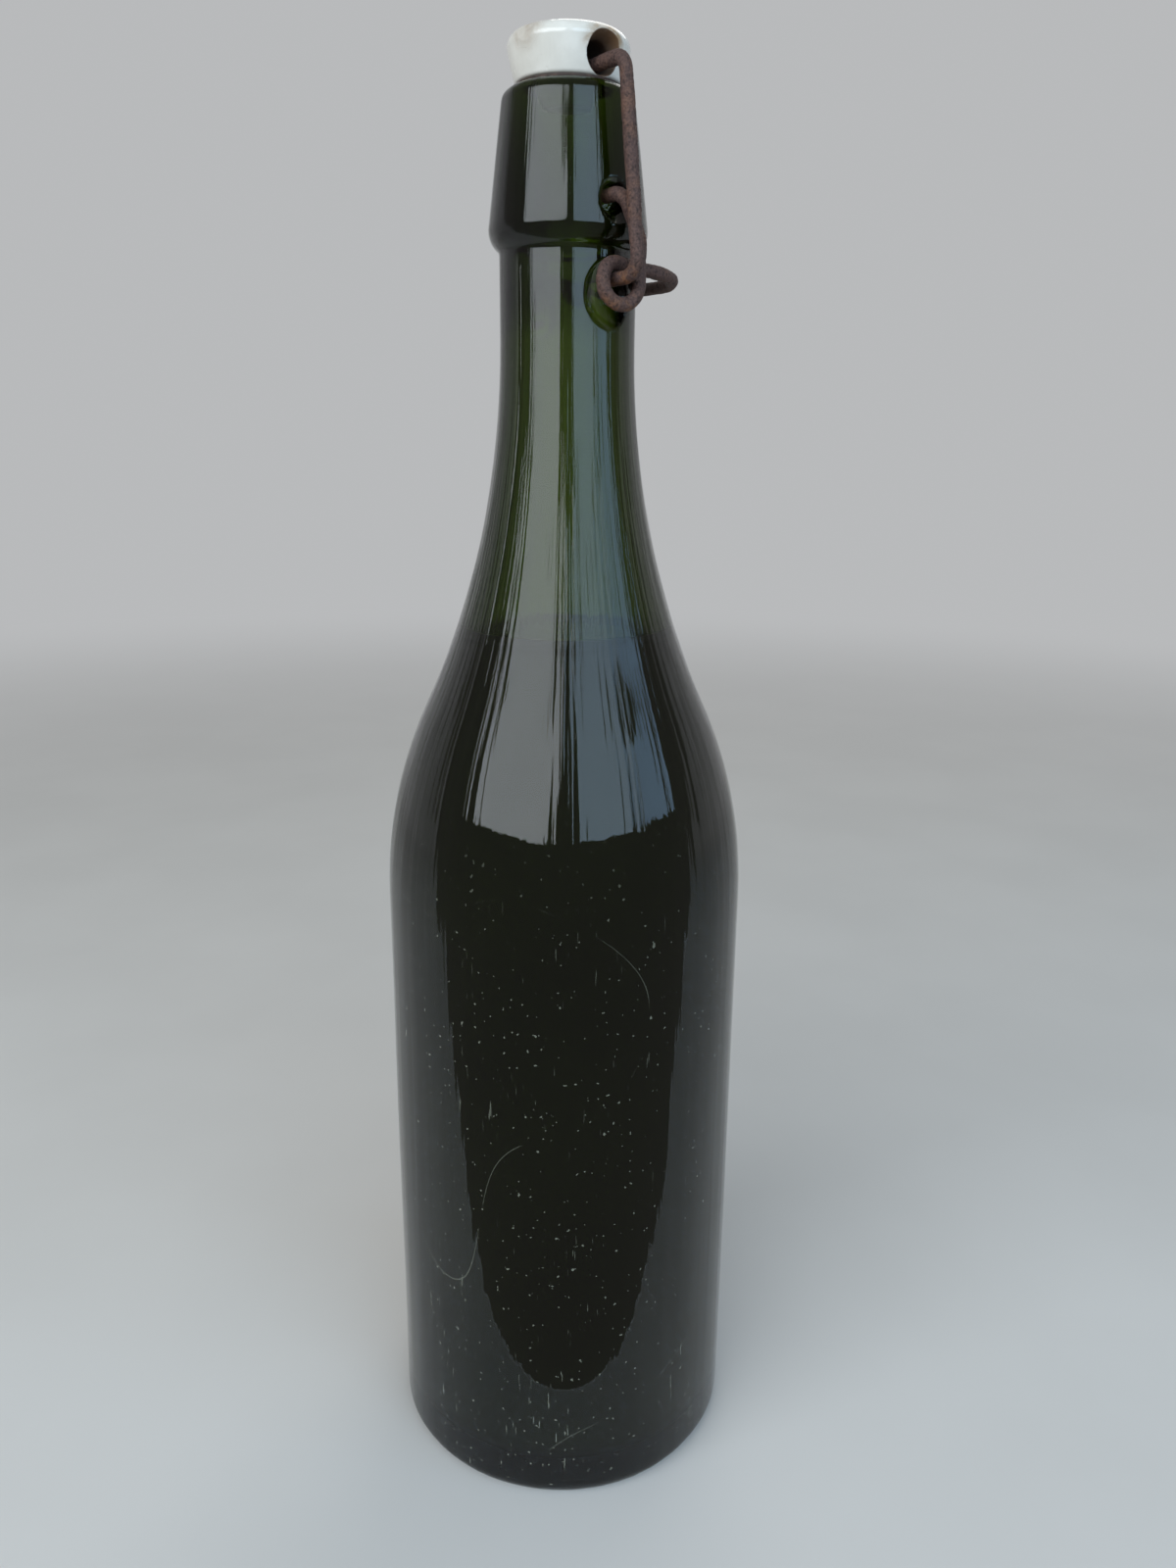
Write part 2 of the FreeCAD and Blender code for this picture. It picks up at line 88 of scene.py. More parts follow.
SEAM_WIDTH = 0.5

EDGE_R = BORE_R + MOUTH_ROUNDING + RIM_WIDTH + LIP_EDGE_RADIUS
LIP_R = EDGE_R + LIP_TAPER
NECK_R = LIP_R - LIP_OVERHANG
LIP_Z = RIM_Z - LIP_HEIGHT
WIDEST_Z = LIP_Z + LIP_SKIRT
EDGE_Z = RIM_Z - LIP_EDGE_RADIUS
NECK_Z = LIP_Z - NECK_LENGTH
BODY_Z = NECK_Z - SHOULDER_HEIGHT
HEEL_R = BODY_R - HEEL_RADIUS
PUNT_R = HEEL_R - BEARING_WIDTH
INNER_R = BODY_R - WALL
INNER_PUNT_R = INNER_R - INNER_HEEL_RADIUS

# The shoulder round and the hollow neck round touch where the wall is steepest
SHOULDER_STEP = BODY_R - NECK_R
ROUND_SPAN = (SHOULDER_HEIGHT ** 2 + SHOULDER_STEP ** 2) / (2 * SHOULDER_STEP)
NECK_ROUND = ROUND_SPAN - SHOULDER_RADIUS
MEET_R = BODY_R - SHOULDER_RADIUS * SHOULDER_STEP / ROUND_SPAN
MEET_Z = BODY_Z + SHOULDER_RADIUS * SHOULDER_HEIGHT / ROUND_SPAN
INNER_MEET_R = MEET_R - WALL * (ROUND_SPAN - SHOULDER_STEP) / ROUND_SPAN
INNER_MEET_Z = MEET_Z - WALL * SHOULDER_HEIGHT / ROUND_SPAN

# Stopper: its cross hole with the flared mouths, and the chip in its upper edge
HOLE_R = 2.8 * MM
BAR_TO_HOLE = 1.3 * MM
FLARE_DEPTH = 3.3 * MM
FLARE_SLOPE = 0.4
CHIP_R = 2.4 * MM
CHIP_DEPTH = 0.8 * MM
CHIP_X = -0.985
CHIP_Y = -0.165
CHIP_DROP = 1.6 * MM

# Mesh fineness
GLASS_SEGMENTS = 256
SEAM_FAN = np.linspace(-3, 3, 31)
COARSE_STEP = 1.6
HEEL_STEP = 0.4
FINE_STEP = 0.25
MOUTH_STEP = 0.1
SOFTENING = 5
WIRE_VOXEL = 0.16 * MM
STOPPER_VOXEL = 0.2 * MM
GASKET_VOXEL = 0.14 * MM

# Stage: a pale sheet, whose front edge is as close to the bottle as the shelf's edge in the photograph
STAGE_WIDTH = 40.0
STAGE_FRONT = 0.075
STAGE_DROP = 0.03
STAGE_EDGE = 0.004
FLOOR_DEPTH = 1.4
SWEEP_R = 0.7
WALL_TOP = 2.6
FADE_R = 1.5
BACKDROP = (0.966, 0.983, 1.0)
PALENESS = 0.50
ROOM = (1.0, 0.97, 0.92)
AMBIENT = 0.22

# Camera, as the photograph was taken: beside the bottle and above its middle, a little turned and tilted
CAMERA_AZIMUTH = -36.5
CAMERA_DISTANCE = 0.256
CAMERA_HEIGHT = 0.234
CAMERA_PITCH = 16.0
CAMERA_YAW = 1.157
CAMERA_ROLL = 0.593
CAMERA_LENS = 27.0
CAMERA_SENSOR = 36.0
CAMERA_CLIP = 0.01

# Height that the lamps face
AIM_Z = 0.17


# Shapes of the glass

def arc_points(start, end, radius, turn, step):
    """Points from start up to end on the short arc; turn is 1 where it bends left and -1 to the right."""
    start, end = np.array(start), np.array(end)
    chord = end - start
    length = np.linalg.norm(chord)
    to_left = np.array((-chord[1], chord[0])) / length
    centre = (start + end) / 2 + to_left * turn * math.sqrt(max(radius ** 2 - (length / 2) ** 2, 0))
    swing = 2 * math.asin(min(length / (2 * radius), 1)) * turn
    first = math.atan2(*(start - centre)[::-1])
    count = max(2, math.ceil(abs(swing) * radius / step))
    angles = first + swing * np.arange(count) / count
    return [centre + radius * np.array((math.cos(angle), math.sin(angle))) for angle in angles]


def line_points(start, end, step):
    start, end = np.array(start), np.array(end)
    count = max(1, math.ceil(np.linalg.norm(end - start) / step))
    return [start + (end - start) * index / count for index in range(count)]


def outline(corners):
    """Points through corners of (radius, height, step, rounding); a rounding is an arc's radius and turn."""
    points = []
    for (r, z, step, rounding), (next_r, next_z, _, _) in zip(corners, corners[1:]):
        if rounding is None:
            points += line_points((r, z), (next_r, next_z), step)
        else:
            points += arc_points((r, z), (next_r, next_z), *rounding, step)
    points.append(np.array(corners[-1][:2]))
    return np.array(points)


def soften(points, passes):
    """Melt the corners of an outline a little, as the flame does with glass."""
    for _ in range(passes):
        points[1:-1] = (points[:-2] + 2 * points[1:-1] + points[2:]) / 4
    return points


def dome(half_width, rise):
    return (half_width ** 2 + rise ** 2) / (2 * rise)


def outer_outline():
    """The outside, from the middle of the punt to the inner edge of the rim."""
    return outline((
        (0, PUNT_RISE, COARSE_STEP, (dome(PUNT_R, PUNT_RISE), -1)),
        (PUNT_R, 0, COARSE_STEP, None),
        (HEEL_R, 0, HEEL_STEP, (HEEL_RADIUS, 1)),
        (BODY_R, HEEL_RADIUS, COARSE_STEP, None),
        (BODY_R, BODY_Z, COARSE_STEP, (SHOULDER_RADIUS, 1)),
        (MEET_R, MEET_Z, COARSE_STEP, (NECK_ROUND, -1)),
        (NECK_R, NECK_Z, FINE_STEP, None),
        (NECK_R, LIP_Z, FINE_STEP, (dome(LIP_SKIRT, LIP_OVERHANG), 1)),
        (LIP_R, WIDEST_Z, FINE_STEP, None),
        (EDGE_R, EDGE_Z, FINE_STEP, (LIP_EDGE_RADIUS, 1)),
        (EDGE_R - LIP_EDGE_RADIUS, RIM_Z, FINE_STEP, None),
        (BORE_R + MOUTH_ROUNDING, RIM_Z, FINE_STEP, None),
    ))


def inner_outline():
    """The inside, from the mouth down to the middle of the domed floor."""
    return outline((
        (BORE_R + MOUTH_ROUNDING, RIM_Z, MOUTH_STEP, (MOUTH_ROUNDING, 1)),
        (BORE_R, RIM_Z - MOUTH_ROUNDING, COARSE_STEP, None),
        (BORE_R, NECK_Z + THROAT_HEIGHT, COARSE_STEP, None),
        (NECK_R - WALL, NECK_Z, COARSE_STEP, (NECK_ROUND + WALL, 1)),
        (INNER_MEET_R, INNER_MEET_Z, COARSE_STEP, (SHOULDER_RADIUS - WALL, -1)),
        (INNER_R, BODY_Z, COARSE_STEP, None),
        (INNER_R, BASE_THICKNESS + INNER_HEEL_RADIUS, COARSE_STEP, (INNER_HEEL_RADIUS, -1)),
        (INNER_PUNT_R, BASE_THICKNESS, COARSE_STEP, (dome(INNER_PUNT_R, PUNT_RISE), 1)),
        (0, BASE_THICKNESS + PUNT_RISE, COARSE_STEP, None),
    ))


def lathe(name, points, shape=None):
    """Turn an outline that starts and ends on the axis; shape may move the array of the rings' points."""
    even = np.arange(GLASS_SEGMENTS) * 360 / GLASS_SEGMENTS
    fans = [angle + SEAM_FAN for angle in SEAM_ANGLES]
    angles = np.radians(np.unique(np.concatenate((even, *fans)).round(3)))
    columns = len(angles)
    rings = points[1:-1]
    grid = np.empty((len(rings), columns, 3))
    grid[..., 0] = rings[:, :1] * np.cos(angles)
    grid[..., 1] = rings[:, :1] * np.sin(angles)
    grid[..., 2] = rings[:, 1:]
    if shape:
        shape(grid)
    ends = [(0, 0, points[0][1]), (0, 0, points[-1][1])]
    vertices = np.concatenate((grid.reshape(-1, 3), ends)) * MM
    faces = []
    for column in range(columns):
        after = (column + 1) % columns
        for row in range(len(rings) - 1):
            low, high = row * columns, (row + 1) * columns
            faces.append((low + column, low + after, high + after, high + column))
        top = (len(rings) - 1) * columns
        faces.append((len(vertices) - 2, after, column))
        faces.append((len(vertices) - 1, top + column, top + after))
    mesh = bpy.data.meshes.new(name)
    mesh.from_pydata(vertices.tolist(), [], faces)
    mesh.shade_smooth()
    piece = bpy.data.objects.new(name, mesh)
    bpy.context.scene.collection.objects.link(piece)
    return piece


def smooth_step(value, low, high):
    share = np.clip((value - low) / (high - low), 0, 1)
    return share * share * (3 - 2 * share)


def wave_glass(grid):
    """Uneven blown glass: slow swells all over, and streaks drawn out along the neck."""
    swell, swell_turn, swell_rise = 0.16, 2.2, 55
    streak, streak_turn, streak_rise = 0.05, 14, 70
    for ring in grid:
        z = ring[0, 2]
        drawn = float(smooth_step(z, BODY_Z, NECK_Z))
        for point in ring:
            x, y = point[0] / BODY_R, point[1] / BODY_R
            broad = noise.noise(Vector((swell_turn * x, swell_turn * y, z / swell_rise)))
            fine = noise.noise(Vector((streak_turn * x, streak_turn * y, z / streak_rise)))
            lift = swell * broad + streak * (1 + drawn) * fine
            radius = math.hypot(point[0], point[1])
            point[:2] *= 1 + lift * smooth_step(radius, 0, NECK_R) / max(radius, 1)


def raise_seams(grid):
    """The fine ridges that the halves of the mould leave from the shoulder up to the lip."""
    radius = np.hypot(grid[..., 0], grid[..., 1])
    z = grid[..., 2]
    around = np.arctan2(grid[..., 1], grid[..., 0])
    length = smooth_step(z, BODY_Z, MEET_Z) * smooth_step(z, LIP_Z, LIP_Z - LIP_SKIRT)
    for angle in SEAM_ANGLES:
        off = np.angle(np.exp(1j * (around - math.radians(angle)))) * radius
        ridge = SEAM_HEIGHT * np.exp(-(off / SEAM_WIDTH) ** 2) * length
        grid[..., :2] *= (1 + ridge / np.maximum(radius, 1))[..., None]


def press_sides(grid):
    """The dished sockets in the lip and the dimples in the neck, on both sides."""
    x, z = grid[..., 0], grid[..., 2]
    depth = np.abs(grid[..., 1])
    from_socket = np.hypot(x, z - (PIVOT_Z - SOCKET_DROP))
    lip_w = LIP_R - LIP_TAPER * (PIVOT_Z - WIDEST_Z) / (EDGE_Z - WIDEST_Z)
    dish = lip_w - DISH_DEPTH * (1 - (from_socket - SOCKET_R) / DISH_WIDTH)
    floor = BORE_R + SOCKET_FLOOR
    socket = floor + (dish - floor) * smooth_step(from_socket, SOCKET_R, SOCKET_R + SOCKET_WALL)
    near_lip = (z > LIP_Z) & (from_socket < SOCKET_R + 2 * DISH_WIDTH)
    ball = dome(DIMPLE_HEIGHT / 2, DIMPLE_DEPTH)
    from_dimple = np.hypot(x, z - (PIVOT_Z - DIMPLE_DROP))
    dimple = NECK_R - DIMPLE_DEPTH + ball - np.sqrt(np.maximum(ball ** 2 - from_dimple ** 2, 0))
    near_neck = (z < LIP_Z) & (from_dimple < DIMPLE_HEIGHT)
    pressed = np.where(near_lip, np.minimum(depth, socket), depth)
    pressed = np.where(near_neck, np.minimum(pressed, dimple), pressed)
    grid[..., 1] = np.sign(grid[..., 1]) * pressed


def make_glass():
    """The blown bottle: outside and inside in one closed skin."""
    outside = soften(outer_outline(), SOFTENING)
    inside = inner_outline()

    def shape(grid):
        outer = grid[:len(outside) - 1]
        wave_glass(outer)
        raise_seams(outer)
        press_sides(outer)

    piece = lathe("glass_bottle", np.concatenate((outside, inside[1:])), shape)
    finish_piece(piece, "bottle", glass_material(), "bottle")


def make_drink():
    """What the photograph shows inside: the bottle is full up to the hollow of its neck."""
    overlap, meniscus, creep = 0.05, 1.2, 0.3
    wall = [point for point in inner_outline() if point[1] < FILL_Z]
    wall_r = wall[0][0]
    level = [(0, FILL_Z), (wall_r / 2, FILL_Z), (wall_r - meniscus, FILL_Z)]
    top = [*level, (wall_r - creep, FILL_Z + meniscus / 2)]
    side = [(r + overlap if r else 0, z) for r, z in wall]
    points = np.array([*top, (wall_r + overlap, FILL_Z + meniscus), *side])
    points[len(top) + 1:, 1] -= overlap
    piece = lathe("drink", points[::-1])
    finish_piece(piece, "bottle", drink_material())


# Shapes of the closure

def remeshed(node, name, voxel):
    """An even, dense copy of a solid's mesh."""
    source = frame["nodes"][node]
    piece = bpy.data.objects.new(name, source.data.copy())
    bpy.context.scene.collection.objects.link(piece)
    piece.data.materials.clear()
    remesh = piece.modifiers.new("even", "REMESH")
    remesh.mode = "VOXEL"
    remesh.voxel_size = voxel
    smooth = piece.modifiers.new("smooth", "SMOOTH")
    smooth.factor = 0.5
    smooth.iterations = 4
    graph = bpy.context.evaluated_depsgraph_get()
    mesh = bpy.data.meshes.new_from_object(piece.evaluated_get(graph))
    piece.modifiers.clear()
    piece.data = mesh
    mesh.shade_smooth()
    return piece


def wear(piece, layers):
    """Sink the surface by layers of (depth, size, bareness), where the noise rises over the bareness."""
    mesh = piece.data
    normals = [vertex.normal.copy() for vertex in mesh.vertices]
    for vertex, normal in zip(mesh.vertices, normals):
        sink = 0
        for depth, size, bareness in layers:
            value = noise.noise(vertex.co / size)
            sink += depth * max(value - bareness, 0) / (1 - bareness)
        vertex.co -= normal * sink
    mesh.update()


def make_wire(node, name, body, material):
    """A rusted wire: swollen along its length and pitted all over."""
    piece = remeshed(node, name, WIRE_VOXEL)
    wear(piece, ((0.22 * MM, 5.0 * MM, -0.3), (0.16 * MM, 1.1 * MM, 0.05), (0.10 * MM, 0.45 * MM, 0.0)))
    finish_piece(piece, body, material, node)


def chip_place():
    """Where the stopper's upper edge is chipped."""
    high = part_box("stopper")[1]
    return Vector((CHIP_X * high.x, CHIP_Y * high.x, high.z - CHIP_DROP))


def make_stopper():
    """Hand-thrown porcelain: not quite round, with pinholes and a chipped upper edge."""
    piece = remeshed("stopper", "porcelain_stopper", STOPPER_VOXEL)
    wear(piece, ((0.18 * MM, 9.0 * MM, -0.4), (0.35 * MM, 2.2 * MM, 0.55)))
    chip, roughness, grain = chip_place(), 0.5, 1.2 * MM
    for vertex in piece.data.vertices:
        away = (vertex.co - chip).length
        if away < CHIP_R:
            rough = 1 + roughness * noise.noise(vertex.co / grain)
            vertex.co.xy *= 1 - CHIP_DEPTH * rough * (1 - away / CHIP_R) / vertex.co.xy.length
    finish_piece(piece, "stopper", porcelain_material(), "stopper")


def make_gasket():
    """The aged rubber washer under the stopper."""
    piece = remeshed("gasket", "rubber_gasket", GASKET_VOXEL)
    wear(piece, ((0.10 * MM, 3.0 * MM, -0.2), (0.08 * MM, 0.6 * MM, 0.2)))
    finish_piece(piece, "stopper", rubber_material(), "gasket")


def finish_piece(piece, body, material, node=None):
    piece.data.materials.append(material)
    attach(piece, body)
    if node:
        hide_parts(node)


# Materials

class Shader:
    """A material with one main shader, and short calls for the nodes that feed it."""

    def __init__(self, name):
        self.material = bpy.data.materials.new(name)
        self.material.use_nodes = True
        self.tree = self.material.node_tree
        self.main = self.tree.nodes["Principled BSDF"]
        self.output = self.tree.nodes["Material Output"]
        self.place = self.tree.nodes.new("ShaderNodeTexCoord").outputs["Object"]

    def put(self, socket, value):
        if isinstance(value, bpy.types.NodeSocket):
            self.tree.links.new(value, socket)
        else:
            socket.default_value = value

    def math(self, operation, first, second=0.0):
        node = self.tree.nodes.new("ShaderNodeMath")
        node.operation = operation
        self.put(node.inputs[0], first)
        self.put(node.inputs[1], second)
        return node.outputs[0]

    def between(self, share, low, high):
        return self.math("ADD", self.math("MULTIPLY", share, high - low), low)

    def seen(self):
        """1 for what the camera sees, straight or in glass and metal, and 0 for light on matt surfaces."""
        ray = self.tree.nodes.new("ShaderNodeLightPath").outputs
        shown = self.math("MAXIMUM", ray["Is Camera Ray"], ray["Is Glossy Ray"])
        return self.math("MAXIMUM", shown, ray["Is Transmission Ray"])

    def set(self, **values):
        for name, value in values.items():
            self.put(self.main.inputs[name.replace("_", " ")], value)

    def along(self, axis):
        node = self.tree.nodes.new("ShaderNodeSeparateXYZ")
        self.put(node.inputs[0], self.place)
        return node.outputs[axis]

    def span(self, value, low, high):
        """0 up to low, 1 from high, smooth between."""
        node = self.tree.nodes.new("ShaderNodeMapRange")
        node.interpolation_type = "SMOOTHSTEP"
        self.put(node.inputs["Value"], value)
        node.inputs["From Min"].default_value = low
        node.inputs["From Max"].default_value = high
        return node.outputs[0]

    def band(self, value, middle, half_width):
        """1 in the middle of a band, 0 outside it."""
        off = self.math("ABSOLUTE", self.math("SUBTRACT", value, middle))
        return self.math("SUBTRACT", 1.0, self.span(off, 0.2 * half_width, half_width))

    def stretched(self, scale, turn=(0, 0, 0)):
        node = self.tree.nodes.new("ShaderNodeMapping")
        self.put(node.inputs["Vector"], self.place)
        node.inputs["Scale"].default_value = scale
        node.inputs["Rotation"].default_value = [math.radians(angle) for angle in turn]
        return node.outputs[0]

    def around(self, per_turn, per_metre):
        """A place that runs round the axis and along it, so that what is drawn there follows the wall."""
        level = self.tree.nodes.new("ShaderNodeVectorMath")
        level.operation = "MULTIPLY"
        self.put(level.inputs[0], self.place)
        level.inputs[1].default_value = (1, 1, 0)
        ring = self.tree.nodes.new("ShaderNodeVectorMath")
        ring.operation = "NORMALIZE"
        self.put(ring.inputs[0], level.outputs[0])
        scaled = self.tree.nodes.new("ShaderNodeVectorMath")
        scaled.operation = "SCALE"
        self.put(scaled.inputs[0], ring.outputs[0])
        scaled.inputs["Scale"].default_value = per_turn / (2 * math.pi)
        joined = self.tree.nodes.new("ShaderNodeVectorMath")
        joined.operation = "ADD"
        self.put(joined.inputs[0], scaled.outputs[0])
        self.put(joined.inputs[1], self.stretched((0, 0, per_metre)))
        return joined.outputs[0]

    def noise(self, scale, detail=4.0, place=None):
        node = self.tree.nodes.new("ShaderNodeTexNoise")
        self.put(node.inputs["Vector"], place or self.place)
        node.inputs["Scale"].default_value = scale
        node.inputs["Detail"].default_value = detail
        return node.outputs["Fac"]

    def cracks(self, scale, width):
        """Thin lines between cells."""
        node = self.tree.nodes.new("ShaderNodeTexVoronoi")
        node.feature = "DISTANCE_TO_EDGE"
        self.put(node.inputs["Vector"], self.place)
        node.inputs["Scale"].default_value = scale
        return self.math("SUBTRACT", 1.0, self.span(node.outputs["Distance"], 0.0, width))

    def spot(self, centre, radius):
        """1 at a point, 0 from radius on."""
        node = self.tree.nodes.new("ShaderNodeVectorMath")
        node.operation = "DISTANCE"
        self.put(node.inputs[0], self.place)
        node.inputs[1].default_value = centre
        return self.math("SUBTRACT", 1.0, self.span(node.outputs["Value"], 0.25 * radius, radius))

    def from_axis(self, point):
        """Distance from the line through a point along Y."""
        node = self.tree.nodes.new("ShaderNodeVectorMath")
        node.operation = "MULTIPLY"
        self.put(node.inputs[0], self.place)
        node.inputs[1].default_value = (1, 0, 1)
        far = self.tree.nodes.new("ShaderNodeVectorMath")
        far.operation = "DISTANCE"
        self.put(far.inputs[0], node.outputs[0])
        far.inputs[1].default_value = (point.x, 0, point.z)
        return far.outputs["Value"]

    def mix(self, share, first, second):
        node = self.tree.nodes.new("ShaderNodeMix")
        node.data_type = "RGBA"
        self.put(node.inputs["Factor"], share)
        colours = [socket for socket in node.inputs if socket.type == "RGBA"]
        for socket, colour in zip(colours, (first, second)):
            self.put(socket, colour)
        return next(socket for socket in node.outputs if socket.type == "RGBA")

    def bump(self, value, depth, strength=0.5):
        node = self.tree.nodes.new("ShaderNodeBump")
        self.put(node.inputs["Height"], value)
        node.inputs["Distance"].default_value = depth
        self.put(node.inputs["Strength"], strength)
        self.put(self.main.inputs["Normal"], node.outputs[0])


def colour(red, green, blue):
    return (red, green, blue, 1.0)


def glass_material():
    """Dark olive green glass: drawn in fine streaks, with hairlines, short scuffs and specks on the body."""
    glass = Shader("bottle_glass_green")
    foot, body_top, streaks, calm = (0.020, 0.060), (0.120, 0.170), (0.120, 0.190), (0.200, 0.250)
    tint, density = colour(0.43, 0.50, 0.14), 640.0
    z = glass.along("Z")
    on_body = glass.math("SUBTRACT", 1.0, glass.span(z, *body_top))
    low_down = glass.math("SUBTRACT", 1.0, glass.span(z, *foot))
    arcs = glass.band(glass.noise(17.0, 0.0), 0.5, 0.0014)
    broken = glass.math("MULTIPLY", glass.span(glass.noise(45.0), 0.52, 0.60), 0.3)
    hairline = glass.math("MULTIPLY", arcs, broken)
    steep = glass.stretched((1900, 1900, 110), (5, 8, 0))
    upright = glass.span(glass.noise(1.0, 2.0, steep), 0.70, 0.74)
    leaning = glass.stretched((1500, 1500, 120), (40, -26, 0))
    slanted = glass.span(glass.noise(1.0, 2.0, leaning), 0.71, 0.75)
    handled = glass.span(glass.noise(55.0), 0.5, 0.62)
    scuffs = glass.math("MULTIPLY", glass.math("MAXIMUM", upright, slanted), handled)
    scuffs = glass.math("MULTIPLY", scuffs, glass.between(low_down, 0.35, 1.0))
    specks = glass.math("MULTIPLY", glass.span(glass.noise(1000.0, 1.0), 0.725, 0.76), 0.6)
    marks = glass.math("MAXIMUM", glass.math("MAXIMUM", hairline, scuffs), specks)
    worn = glass.math("MULTIPLY", glass.math("MULTIPLY", marks, on_body), 0.35)
    smear = glass.span(glass.noise(60.0, 6.0), 0.45, 0.75)
    glass.set(
        Base_Color=glass.mix(worn, colour(0.86, 0.92, 0.72), colour(0.60, 0.64, 0.58)),
        Roughness=glass.math("ADD", glass.between(smear, 0.004, 0.022), glass.math("MULTIPLY", worn, 0.8)),
        Transmission_Weight=glass.math("SUBTRACT", 1.0, worn),
        IOR=1.48,
    )
    drawn = glass.noise(1.0, 2.0, glass.around(150.0, 12.0))
    on_shoulder = glass.between(glass.span(z, *streaks), 0.09, 0.40)
    calmer = glass.between(glass.span(z, *calm), 1.0, 0.25)
    glass.bump(drawn, 0.50 * MM, glass.math("MULTIPLY", on_shoulder, calmer))
    absorb = glass.tree.nodes.new("ShaderNodeVolumeAbsorption")
    absorb.inputs["Color"].default_value = tint
    absorb.inputs["Density"].default_value = density
    glass.tree.links.new(absorb.outputs[0], glass.output.inputs["Volume"])
    return glass.material


def drink_material():
    """Dark drink, which lets almost no light through."""
    drink = Shader("dark_drink")
    depth = drink.span(drink.noise(22.0), 0.3, 0.7)
    drink.set(
        Base_Color=drink.mix(depth, colour(0.070, 0.080, 0.030), colour(0.120, 0.130, 0.050)),
        Roughness=0.08,
        Specular_IOR_Level=0.1,
    )
    return drink.material


def rust_material(name, scale, node):
    """Steel wire under an even brown rust, with dark pits, and orange bloom in patches and lowest down."""
    rust = Shader(name)
    lowest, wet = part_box(node)[0].z, 4.0 * MM
    patches = rust.math("MULTIPLY", rust.span(rust.noise(scale, 6.0), 0.45, 0.68), 0.25)
    low_down = rust.band(rust.along("Z"), lowest, wet)
    fresh = rust.math("MULTIPLY", low_down, rust.span(rust.noise(420.0), 0.4, 0.6))
    grain = rust.noise(2600.0, 3.0)
    pits = rust.span(rust.noise(1500.0, 2.0), 0.56, 0.68)
    brown = rust.mix(rust.span(grain, 0.3, 0.7), colour(0.062, 0.034, 0.030), colour(0.125, 0.072, 0.060))
    bloom = rust.mix(rust.span(grain, 0.35, 0.65), colour(0.170, 0.070, 0.035), colour(0.290, 0.140, 0.070))
    rusty = rust.mix(rust.math("MAXIMUM", patches, rust.math("MULTIPLY", fresh, 0.8)), brown, bloom)
    rust.set(
        Base_Color=rust.mix(rust.math("MULTIPLY", pits, 0.7), rusty, colour(0.022, 0.013, 0.011)),
        Metallic=0.15,
        Roughness=rust.between(grain, 0.62, 0.92),
    )
    rust.bump(rust.math("ADD", grain, rust.math("MULTIPLY", pits, -0.6)), 0.10 * MM, 0.7)
    return rust.material


def porcelain_material():
    """White glaze gone grey, crazed, with a rusty cross hole painted darker further in as shade, and a brown
    stain on its chipped edge.
    """
    glaze = Shader("stopper_glaze")
    hole = JOINTS["stopper_swivel"] + Vector((0, 0, BAR_TO_HOLE))
    flare_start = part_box("stopper")[1].x - FLARE_DEPTH
    cloud = glaze.span(glaze.noise(160.0, 5.0), 0.35, 0.7)
    white = glaze.mix(cloud, colour(0.74, 0.72, 0.66), colour(0.84, 0.82, 0.76))
    crazing = glaze.math("MULTIPLY", glaze.cracks(330.0, 0.012), glaze.span(glaze.noise(120.0), 0.45, 0.7))
    crazed = glaze.mix(glaze.math("MULTIPLY", crazing, 0.3), white, colour(0.42, 0.40, 0.34))
    speck = glaze.span(glaze.noise(420.0, 5.0), 0.40, 0.66)
    into_flare = glaze.math("SUBTRACT", glaze.math("ABSOLUTE", glaze.along("Y")), flare_start)
    widening = glaze.math("MULTIPLY", glaze.math("MAXIMUM", into_flare, 0.0), FLARE_SLOPE)
    from_hole = glaze.math("SUBTRACT", glaze.from_axis(hole), widening)
    fringe = glaze.math("SUBTRACT", 1.0, glaze.span(from_hole, 1.15 * HOLE_R, 1.9 * HOLE_R))
    above = glaze.span(glaze.along("Z"), hole.z - 0.3 * HOLE_R, hole.z + 1.2 * HOLE_R)
    fringe = glaze.math("MULTIPLY", fringe, glaze.math("MULTIPLY", above, glaze.between(speck, 0.45, 1.0)))
    rusted = glaze.mix(glaze.math("MULTIPLY", fringe, 0.9), crazed, colour(0.30, 0.17, 0.06))
    # Inside the cross hole: rust brown at its mouths, with painted shade that turns it near black further in.
    inside = glaze.math("SUBTRACT", 1.0, glaze.span(from_hole, 1.02 * HOLE_R, 1.08 * HOLE_R))
    hole_shade_fades_outward = glaze.span(into_flare, -2.0 * MM, 3.0 * MM)
    rust = glaze.mix(hole_shade_fades_outward, colour(0.030, 0.016, 0.012), colour(0.16, 0.085, 0.04))
    rust_and_painted_shade = glaze.mix(glaze.math("MULTIPLY", inside, 0.96), rusted, rust)
    stain = glaze.math("MULTIPLY", glaze.spot(chip_place(), 2.2 * CHIP_R), glaze.between(speck, 0.5, 1.0))
    stained = glaze.mix(glaze.math("MULTIPLY", stain, 0.85), rust_and_painted_shade, colour(0.40, 0.31, 0.23))
    pinholes = glaze.math("MULTIPLY", glaze.span(glaze.noise(520.0, 2.0), 0.735, 0.76), 0.7)
    glaze.set(
        Base_Color=glaze.mix(pinholes, stained, colour(0.13, 0.10, 0.09)),
        Roughness=glaze.between(glaze.math("MAXIMUM", inside, stain), 0.16, 0.7),
        Coat_Weight=0.4,
        Coat_Roughness=0.08,
    )
    glaze.bump(glaze.math("SUBTRACT", glaze.noise(300.0), crazing), 0.05 * MM, 0.3)
    return glaze.material


